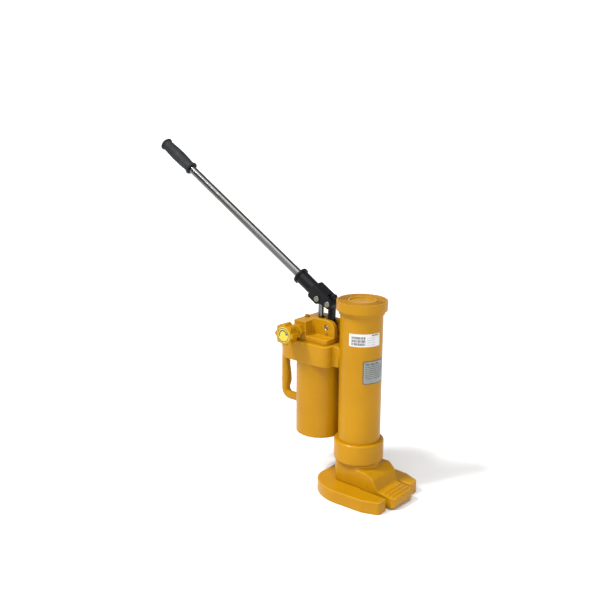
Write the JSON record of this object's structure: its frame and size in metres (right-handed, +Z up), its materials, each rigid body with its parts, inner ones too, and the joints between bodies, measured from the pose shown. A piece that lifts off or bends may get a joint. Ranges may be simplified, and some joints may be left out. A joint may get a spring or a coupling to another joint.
{
  "type": "hydraulic toe jack",
  "caption": "Hydraulic toe jack: a cylinder with head seat, ribbed lifting toe and hand pump climbs a ram that stands on a slotted base plate.",
  "frame": {"origin": "centre of the ram and column axis on the underside of the base plate, which rests on the floor", "axes": "+Z up along the column, +X from the column axis towards the toe tip, +Y to the toe's left; the release knob faces -Y"},
  "size_m": [0.6304, 0.1595, 0.6286],
  "materials": {
    "yellow_paint": "semi-gloss",
    "black_paint": "semi-gloss",
    "steel": "satin",
    "chrome": "polished",
    "bronze": "satin",
    "seal_rubber": "matte",
    "grip_rubber": "matte",
    "plate_metal": "satin",
    "label_film": "satin",
    "disc_plastic": "gloss"
  },
  "bodies": {
    "base": {"base_plate": "yellow_paint", "base_screws": "steel", "ram_rod": "chrome", "ram_piston": "steel", "piston_seal": "seal_rubber", "piston_guide_ring": "bronze", "piston_nut": "steel"},
    "toe": {"toe_casting": "yellow_paint", "swivel_washer": "bronze"},
    "jack_body": {"cylinder_tube": "yellow_paint", "lower_collar": "yellow_paint", "head_cap": "yellow_paint", "head_seal": "seal_rubber", "bottom_gland": "steel", "rod_guide_bush": "bronze", "rod_wiper": "seal_rubber", "rod_seal": "seal_rubber", "stop_ring": "steel", "swivel_nut": "steel", "pump_bracket": "yellow_paint", "pump_head": "yellow_paint", "pump_head_screws": "steel", "reservoir_tube": "yellow_paint", "reservoir_bottom": "yellow_paint", "reservoir_seal": "seal_rubber", "carry_handle": "yellow_paint", "filler_plug": "yellow_paint", "filler_washer": "steel", "pump_barrel": "steel", "plunger_seal": "seal_rubber", "suction_tube": "steel", "suction_strainer": "bronze", "inlet_ball": "steel", "outlet_ball": "steel", "outlet_spring": "steel", "outlet_plug": "steel", "relief_ball": "steel", "relief_spring": "steel", "relief_screw": "steel", "release_gland": "yellow_paint", "data_plate": "plate_metal", "blank_label": "label_film", "lug_pin": "steel", "lug_set_screw": "steel"},
    "plunger": {"plunger_rod": "chrome"},
    "lever": {"lever_socket": "black_paint", "plunger_pin": "steel", "link_pin": "steel", "pin_clips": "steel"},
    "link": {"link_arm": "black_paint"},
    "lever_bar": {"lever_tube": "chrome", "lever_plug": "grip_rubber", "rubber_grip": "grip_rubber"},
    "release_valve": {"release_spindle": "steel", "release_knob": "yellow_paint", "knob_disc": "disc_plastic", "knob_nut": "steel"}
  },
  "joints": [
    {"name": "lift", "type": "slide", "parent": "base", "child": "toe", "axis": [0, 0, 1], "range_m": [0, 0.205]},
    {"name": "body_swivel", "type": "hinge", "parent": "toe", "child": "jack_body", "pos_m": [0, 0, 0.066], "axis": [0, 0, 1], "continuous": true},
    {"name": "plunger_slide", "type": "slide", "parent": "jack_body", "child": "plunger", "axis": [0, 0, 1], "range_m": [-0.0172, 0.0046]},
    {"name": "lever_swing", "type": "hinge", "parent": "plunger", "child": "lever", "pos_m": [-0.0945, 0, 0.358], "axis": [0, 1, 0], "range_deg": [-38, 10]},
    {"name": "link_swing", "type": "hinge", "parent": "lever", "child": "link", "pos_m": [-0.069, 0, 0.3514], "axis": [0, 1, 0], "range_deg": [-10.5, 38.5]},
    {"name": "lever_pull", "type": "slide", "parent": "lever", "child": "lever_bar", "axis": [-0.8554, 0, 0.518], "range_m": [0, 0.035]},
    {"name": "release_turn", "type": "hinge", "parent": "jack_body", "child": "release_valve", "pos_m": [-0.1165, -0.06, 0.299], "axis": [0, -1, 0], "range_deg": [0, 450]}
  ],
  "couplings": [
    {"joint": "plunger_slide", "follows": "lever_swing", "m_per_rad": 0.0256},
    {"joint": "link_swing", "follows": "lever_swing", "ratio": -1}
  ]
}
